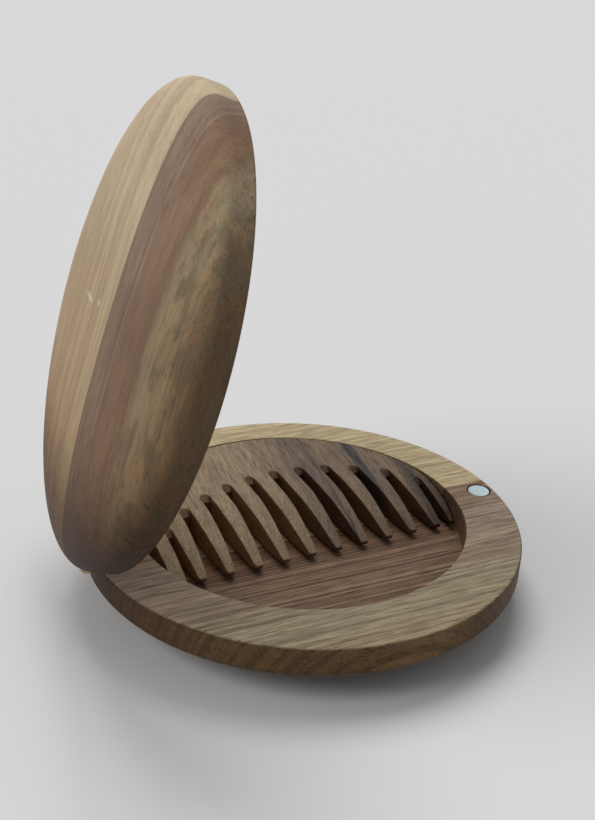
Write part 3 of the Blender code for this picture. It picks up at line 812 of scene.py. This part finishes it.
def magnet_spot(height):
    """Give the place of a magnet on a disc's face."""
    x = MAGNET_CIRCLE * math.cos(MAGNET_TURN)
    y = MAGNET_CIRCLE * math.sin(MAGNET_TURN)
    return Vector((x, y, height))


def magnet_hole(low, high):
    """Turn the hole for a magnet, between two heights."""
    radius = MAGNET_RADIUS + GAP
    return lathe("hole", [(0, high), (radius, high), (radius, low), (0, low)], SMALL_STEPS)


def cut_leaf_place(shell, side):
    """Cut the housing for a hinge leaf into a shell. The pin is at the origin."""
    reach = HINGE_STANDOFF + LEAF_REACH + GAP
    half = LEAF_WIDTH / 2 + GAP
    back = side * (GAP / 2 + LEAF_THICKNESS + GAP)
    front = -side * OVERRUN
    low = (-OVERRUN, -half, min(back, front))
    high = (reach, half, max(back, front))
    carve(shell, box("housing", low, high))
    carve(shell, rod("groove", KNUCKLE_RADIUS + GAP, -half, half))


def make_base(wood):
    """Turn the base disc and bore the pocket, the magnet's hole and the hinge's place."""
    points = [(0, BASE_HEIGHT)]
    points += arc((DISC_RADIUS - EDGE_ROUND, BASE_HEIGHT - EDGE_ROUND), EDGE_ROUND, 90, 0)
    side = bellied_side(BASE_REST_RADIUS, BASE_BAND, BASE_HEIGHT, BASE_CURVE_POWER)
    points += [(radius, BASE_HEIGHT - depth) for radius, depth in side]
    points.append((0, 0))
    base = lathe("base_disc", points)

    lip = POCKET_RADIUS + POCKET_EDGE_ROUND
    inner = POCKET_RADIUS - POCKET_FLOOR_ROUND
    points = [(0, OVERRUN), (lip, OVERRUN)]
    points += arc((lip, -POCKET_EDGE_ROUND), POCKET_EDGE_ROUND, 90, 180)
    points += arc((inner, -POCKET_DEPTH + POCKET_FLOOR_ROUND), POCKET_FLOOR_ROUND, 0, -90)
    points.append((0, -POCKET_DEPTH))
    pocket = lathe("pocket", points)
    carve(base, place(pocket, Matrix.Translation(POCKET_CENTRE + Vector((0, 0, BASE_HEIGHT)))))

    hole = magnet_hole(-MAGNET_THICKNESS - GAP, OVERRUN)
    carve(base, place(hole, Matrix.Translation(magnet_spot(BASE_HEIGHT))))
    place(base, Matrix.Translation(-HINGE_PLACE))
    cut_leaf_place(base, -1)
    place(base, Matrix.Translation(HINGE_PLACE))
    finish_piece(base, wood, "base", "base_wood", "base_shell")


def make_lid(wood):
    """Turn the lid disc, with its recess, the magnet's hole and the hinge's place."""
    side = bellied_side(LID_CROWN_RADIUS, LID_BAND, LID_HEIGHT, LID_CURVE_POWER)
    points = [(0, LID_HEIGHT)]
    points += reversed(side)
    points += arc((DISC_RADIUS - EDGE_ROUND, EDGE_ROUND), EDGE_ROUND, 0, -90)
    lip = RECESS_RADIUS + GAP
    points += arc((lip, GAP), GAP, -90, -180)
    points += [(RECESS_RADIUS, RECESS_DEPTH), (0, RECESS_DEPTH)]
    lid = lathe("lid_disc", points)
    place(lid, Matrix.Translation(LID_MIDDLE))

    hole = magnet_hole(-OVERRUN, MAGNET_THICKNESS + GAP)
    carve(lid, place(hole, Matrix.Translation(magnet_spot(0) + LID_MIDDLE)))
    cut_leaf_place(lid, 1)
    place(lid, LID_TURN)
    finish_piece(lid, wood, "lid", "lid_wood", "lid_shell")


def coin(name, radius, low, high, edge, steps):
    """Turn a flat disc with rounded edges."""
    points = [(0, high)]
    points += arc((radius - edge, high - edge), edge, 90, 0)
    points += arc((radius - edge, low + edge), edge, 0, -90)
    points.append((0, low))
    return lathe(name, points, steps)


def make_mirror(glass, foam):
    """Make the mirror glass. The foam behind it keeps its own shape."""
    back = MIRROR_SINK + MIRROR_THICKNESS
    mirror = coin("mirror_disc", MIRROR_RADIUS, MIRROR_SINK, back, MIRROR_EDGE_ROUND, DISC_STEPS)
    place(mirror, LID_TURN @ Matrix.Translation(LID_MIDDLE))
    finish_piece(mirror, glass, "lid", "mirror", "mirror_glass")
    pad = frame["nodes"]["mirror_pad"]
    pad.data.materials.clear()
    pad.data.materials.append(foam)


def make_magnets(nickel):
    """Set a magnet into each disc."""
    edge = MAGNET_EDGE_ROUND
    magnet = coin("magnet_in_base", MAGNET_RADIUS, -MAGNET_THICKNESS, 0, edge, SMALL_STEPS)
    place(magnet, Matrix.Translation(magnet_spot(BASE_HEIGHT)))
    finish_piece(magnet, nickel, "base", "nickel", "base_magnet")
    magnet = coin("magnet_in_lid", MAGNET_RADIUS, 0, MAGNET_THICKNESS, edge, SMALL_STEPS)
    place(magnet, LID_TURN @ Matrix.Translation(magnet_spot(0) + LID_MIDDLE))
    finish_piece(magnet, nickel, "lid", "nickel", "lid_magnet")


def screw_spots(side):
    """Give the places of a leaf's two screws, measured from the pin."""
    spread = LEAF_WIDTH / 2 - SCREW_SIDE_MARGIN
    out = HINGE_STANDOFF + LEAF_REACH - SCREW_EDGE_MARGIN
    return [Vector((out, across, side * GAP / 2)) for across in (-spread, spread)]


def screw_solid(name, grow):
    """Turn a countersunk screw, head up, with its radii grown by a gap."""
    head = SCREW_HEAD_RADIUS + grow
    shank = SCREW_SHANK_RADIUS + grow
    top = OVERRUN if grow else 0
    points = [(0, top), (head, top), (head, 0)] if grow else [(0, 0), (head, 0)]
    points += [(shank, -SCREW_HEAD_HEIGHT), (shank, -SCREW_LENGTH * SCREW_POINT_START)]
    points.append((0, -SCREW_LENGTH))
    return lathe(name, points, SMALL_STEPS)


def make_screw(leaf, number, seat, body, matrix, brass):
    """Countersink a leaf for one screw, and make the screw with its slot."""
    carve(leaf, place(screw_solid("countersink", GAP / 2), seat))
    screw = screw_solid(f"{body}_screw_{number}", 0)
    reach = SCREW_HEAD_RADIUS + OVERRUN
    width = SCREW_SLOT_WIDTH / 2
    slot = box("slot", (-width, -reach, -SCREW_SLOT_DEPTH), (width, reach, OVERRUN))
    turn = math.radians(SCREW_SLOT_TURN + SCREW_SLOT_TURN_STEP * number)
    carve(screw, place(slot, Matrix.Rotation(turn, 4, "Z")))
    place(screw, matrix @ seat)
    finish_piece(screw, brass, body, "brass", f"{body}_leaf_screw_{number}")


def make_leaf(name, node, side, body, matrix, brass):
    """Make a hinge leaf with its knuckles, and its screws. side is -1 on the base and 1 on the lid."""
    face = side * GAP / 2
    back = face + side * LEAF_THICKNESS
    half = LEAF_WIDTH / 2
    low = (0, -half, min(face, back))
    high = (HINGE_STANDOFF + LEAF_REACH, half, max(face, back))
    leaf = box(name, low, high)
    rounded = leaf.modifiers.new("rounded", "BEVEL")
    rounded.width = LEAF_EDGE_ROUND
    rounded.segments = LEAF_EDGE_STEPS
    settle(leaf)
    middle = half * MIDDLE_KNUCKLE_SHARE
    inner = [(-middle, middle)]
    outer = [(-half, -middle - GAP), (middle + GAP, half)]
    own, other = (outer, inner) if side < 0 else (inner, outer)
    for start, end in own:
        carve(leaf, rod("knuckle", KNUCKLE_RADIUS, start, end), "UNION")
    for start, end in other:
        start -= OVERRUN if start <= -half else GAP
        end += OVERRUN if end >= half else GAP
        carve(leaf, rod("clearance", KNUCKLE_RADIUS + GAP, start, end))
    carve(leaf, rod("bore", PIN_RADIUS + GAP / 2, -half - OVERRUN, half + OVERRUN))
    flip = Matrix.Identity(4) if side < 0 else Matrix.Rotation(math.pi, 4, "X")
    for number, spot in enumerate(screw_spots(side), start=1):
        make_screw(leaf, number, Matrix.Translation(spot) @ flip, body, matrix, brass)
    place(leaf, matrix)
    finish_piece(leaf, brass, body, "brass", node)


def make_hinge(brass, steel):
    """Make both leaves and the pin."""
    make_leaf("leaf_on_base", "hinge_base_leaf", -1, "base", Matrix.Translation(HINGE_PLACE), brass)
    make_leaf("leaf_on_lid", "hinge_lid_leaf", 1, "lid", LID_TURN, brass)
    half = LEAF_WIDTH / 2
    pin = rod("pin_rod", PIN_RADIUS, -half, half)
    place(pin, Matrix.Translation(HINGE_PLACE))
    finish_piece(pin, steel, "base", "steel", "hinge_pin")


def comb_top(place_y):
    """Give the height of the comb's upper face, from the place along its teeth."""
    share = (TOP_TAPER_START - place_y) / (TOP_TAPER_START - TIP_LINE)
    return COMB_THICKNESS - TOP_TAPER_DROP * min(max(share, 0.0), 1.0) ** 2


def comb_under(place_y):
    """Give the height of the comb's lower face, from the place along its teeth."""
    share = (UNDER_TAPER_START - place_y) / (UNDER_TAPER_START - TIP_LINE)
    return UNDER_TAPER_RISE * min(max(share, 0.0), 1.0) ** 2


def slot_half_width(distance):
    """Give half a slot's width at a distance from the teeth's tips."""
    share = min(max(distance / SLOT_TAPER_LENGTH, 0.0), 1.0) ** SLOT_TAPER_POWER
    return (SLOT_MOUTH_WIDTH + (SLOT_ROOT_WIDTH - SLOT_MOUTH_WIDTH) * share) / 2


def slot_side_x(number, side, place_y):
    """Give the X of one side of a slot. side is -1 for the left and 1 for the right."""
    centre = (number - (SLOT_COUNT - 1) / 2) * SLOT_PITCH + TEETH_SHIFT
    centre += (place_y - TIP_LINE) * SLOT_LEAN
    outer = (number == 0 and side < 0) or (number == SLOT_COUNT - 1 and side > 0)
    half = END_SLOT_OUTER_WIDTH if outer else slot_half_width(place_y - TIP_LINE)
    along = place_y / SAW_WANDER_LENGTH
    wander = noise.noise(Vector((number * 3.1 + side, along, 0.5))) * SAW_WANDER
    return centre + side * half + wander


def levels_between(low, high):
    """Give the shared places along the teeth that lie between two places."""
    count = int((TOP_TAPER_START - TIP_LINE) / LEVEL_STEP)
    places = [TIP_LINE + (TOP_TAPER_START - TIP_LINE) * i / count for i in range(count + 1)]
    margin = LEVEL_STEP / 4
    return [at for at in places if low + margin < at < high - margin]


def slot_points(number, roundness):
    """Give a slot's outline from its left mouth round its root to its right mouth."""
    across = (number - (SLOT_COUNT - 1) / 2) * SLOT_PITCH
    share = min(abs(across) / ROOT_ARC_LENGTH, 1.0)
    root = ROOT_ARC_CENTRE + ROOT_ARC_HEIGHT * math.sqrt(1.0 - share**2)
    if number in (0, SLOT_COUNT - 1):
        root += END_SLOT_RISE
    shoulder = root - LEAD_IN_RUN
    levels = levels_between(TIP_LINE + TIP_CORNER, shoulder)
    if shoulder > TOP_TAPER_START + LEVEL_STEP:
        rise = shoulder - TOP_TAPER_START
        levels += [TOP_TAPER_START + rise * i / SHOULDER_STEPS for i in range(SHOULDER_STEPS)]
    left = [(slot_side_x(number, -1, at), at) for at in levels + [shoulder]]
    right = [(slot_side_x(number, 1, at), at) for at in levels + [shoulder]]
    middle = (left[-1][0] + right[-1][0]) / 2
    reach = (right[-1][0] - left[-1][0]) / 2
    end = []
    for i in range(1, ROOT_POINTS):
        angle = math.pi * i / ROOT_POINTS
        rise = LEAD_IN_RUN * math.sin(angle) * roundness
        end.append((middle - reach * math.cos(angle), shoulder + rise))
    x_left = slot_side_x(number, -1, TIP_LINE)
    x_right = slot_side_x(number, 1, TIP_LINE)
    corner_y = TIP_LINE + TIP_CORNER
    mouth = arc((x_left - TIP_CORNER, corner_y), TIP_CORNER, -90, 0, CORNER_POINTS)
    leave = arc((x_right + TIP_CORNER, corner_y), TIP_CORNER, 180, 270, CORNER_POINTS)
    return mouth + left + end + right[::-1] + leave


def comb_outline(roundness):
    """Give the comb's outline seen from above, anticlockwise from the left tooth's tip."""
    right_x = math.sqrt(COMB_RADIUS**2 - TIP_LINE**2)
    corner = (COMB_LEFT + END_CORNER, TIP_LINE + END_CORNER)
    points = arc(corner, END_CORNER, 180, 270, CORNER_POINTS)
    for number in range(SLOT_COUNT):
        points += slot_points(number, roundness)
    points.append((right_x, TIP_LINE))
    levels = levels_between(TIP_LINE, TOP_TAPER_START)
    points += [(math.sqrt(COMB_RADIUS**2 - at**2), at) for at in levels]
    start = math.degrees(math.asin(TOP_TAPER_START / COMB_RADIUS))
    stop = math.degrees(math.acos(COMB_LEFT / COMB_RADIUS))
    points += arc((0, 0), COMB_RADIUS, start, stop, COMB_BACK_POINTS)
    levels = levels_between(TIP_LINE + END_CORNER, TOP_TAPER_START + LEVEL_STEP / 3)
    points += [(COMB_LEFT, at) for at in reversed(levels)]
    return points


def draw_in(points, amount):
    """Move an anticlockwise outline inwards by an amount."""
    moved = []
    count = len(points)
    for i, (x, y) in enumerate(points):
        before = Vector(points[i - 1])
        after = Vector(points[(i + 1) % count])
        here = Vector((x, y))
        first = (here - before).normalized()
        second = (after - here).normalized()
        inward = Vector((-first.y - second.y, first.x + second.x)).normalized()
        spread = max(SHARPEST_CORNER, inward.dot(Vector((-first.y, first.x))))
        moved.append(here + inward * (amount / spread))
    return moved


def comb_rings(shape):
    """Add the comb's outline at each height, from its lower face to its upper one."""
    stack = []
    for i in range(SANDED_STEPS + 1):
        turn = math.radians(90) * i / SANDED_STEPS
        stack.append((COMB_EDGE_ROUND * (1 - math.sin(turn)), COMB_EDGE_ROUND * (1 - math.cos(turn))))
    stack.append((0, LEAD_IN_DEPTH))
    rings = []
    for from_top in (False, True):
        level_rings = []
        for inset, depth in stack:
            outline = comb_outline(1 - depth / LEAD_IN_DEPTH)
            if inset:
                outline = draw_in(outline, inset)
            ring = []
            for x, y in outline:
                top = comb_top(y)
                under = comb_under(y)
                reach = min(depth, (top - under) * MOST_EDGE_SHARE)
                height = top - reach if from_top else under + reach
                ring.append(shape.verts.new((x, y, height)))
            level_rings.append(ring)
        rings += level_rings[::-1] if from_top else level_rings
    return rings


def cap_comb(shape, ring, height):
    """Close one side of the comb with a face in strips, at a height that follows the teeth."""
    for vert in ring:
        vert.co.z = 0
    faces = [shape.faces.new(ring if height is comb_top else ring[::-1])]
    for at in levels_between(TIP_LINE, TOP_TAPER_START) + [TOP_TAPER_START]:
        geometry = faces + list(dict.fromkeys(edge for face in faces for edge in face.edges))
        geometry += list(dict.fromkeys(vert for face in faces for vert in face.verts))
        cut = bmesh.ops.bisect_plane(
            shape, geom=geometry, dist=CUT_WITHIN, plane_co=(0, at, 0), plane_no=(0, 1, 0)
        )
        faces = [item for item in cut["geom"] if isinstance(item, bmesh.types.BMFace)]
    for face in faces:
        for vert in face.verts:
            vert.co.z = height(vert.co.y)


def make_comb(wood):
    """Build the comb in rings, with sanded edges, and close it above and below."""
    shape = bmesh.new()
    rings = comb_rings(shape)
    count = len(rings[0])
    for lower, upper in zip(rings, rings[1:]):
        for i in range(count):
            j = (i + 1) % count
            shape.faces.new((lower[i], lower[j], upper[j], upper[i]))
    cap_comb(shape, rings[0], comb_under)
    cap_comb(shape, rings[-1], comb_top)
    comb = clean("wooden_comb", shape)
    place(comb, comb_seat())
    finish_piece(comb, wood, "comb", "comb_wood", "comb")


def seen_shade(graph, seen, lit):
    """Give one shade to what looks at a surface, and another to the light that it sends on."""
    path = graph.node("ShaderNodeLightPath").outputs
    share = graph.math("MAXIMUM", path["Is Camera Ray"], path["Is Glossy Ray"])
    return graph.mix(share, (lit,) * 3, (seen,) * 3)


def make_stage():
    """Lay a plain pale floor under a pale sky, and set soft studio light."""
    material, graph, shader = new_material("floor_finish")
    graph.feed(shader.inputs["Base Color"], seen_shade(graph, FLOOR_SEEN, FLOOR_LIT))
    shader.inputs["Roughness"].default_value = FLOOR_ROUGHNESS
    shape = bmesh.new()
    bmesh.ops.create_circle(shape, cap_ends=True, segments=FLOOR_STEPS, radius=FLOOR_RADIUS)
    floor = clean("floor", shape)
    floor.data.materials.append(material)

    world = bpy.data.worlds.new("studio")
    bpy.context.scene.world = world
    world.use_nodes = True
    graph = Graph(world.node_tree)
    background = world.node_tree.nodes["Background"]
    graph.feed(background.inputs["Color"], seen_shade(graph, SKY_SEEN, SKY_LIT))
    add_lamp("overhead", (0.06, 0.51, 0.86), 35, 2.2)
    add_lamp("left_side", (-0.81, 0.04, 0.58), 33, 1.62)


def add_lamp(name, direction, spread, strength):
    """Add a wide soft light that comes from one direction and lights the whole floor evenly."""
    light = bpy.data.lights.new(name, "SUN")
    light.angle = math.radians(spread)
    light.energy = strength
    lamp = bpy.data.objects.new(name, light)
    lamp.location = direction
    lamp.rotation_euler = Vector(direction).to_track_quat("Z", "Y").to_euler()
    lamp.visible_glossy = False
    bpy.context.scene.collection.objects.link(lamp)


def make_camera():
    """Set the camera at the photograph's angle."""
    data = bpy.data.cameras.new("camera")
    data.lens = CAMERA_LENS
    data.sensor_width = SENSOR_WIDTH
    camera = bpy.data.objects.new("camera", data)
    camera.location = CAMERA_PLACE
    camera.rotation_euler = CAMERA_TURN
    data.clip_start = NEAR_CLIP
    bpy.context.scene.collection.objects.link(camera)
    bpy.context.scene.camera = camera


make_camera()
make_stage()
brass_finish = make_metal("brass_finish", (0.56, 0.40, 0.18), 0.34, 3 * MM)
steel_finish = make_metal("steel_finish", (0.55, 0.55, 0.56), 0.28, 2 * MM)
nickel_finish = make_metal("nickel_finish", (0.64, 0.80, 0.85), 0.20, 5 * MM)
mirror_finish = make_silvering()
make_base(make_base_wood())
make_lid(make_lid_wood())
make_mirror(mirror_finish, make_foam())
make_magnets(nickel_finish)
make_hinge(brass_finish, steel_finish)
make_comb(make_comb_wood())
bpy.context.scene.view_settings.view_transform = "Standard"
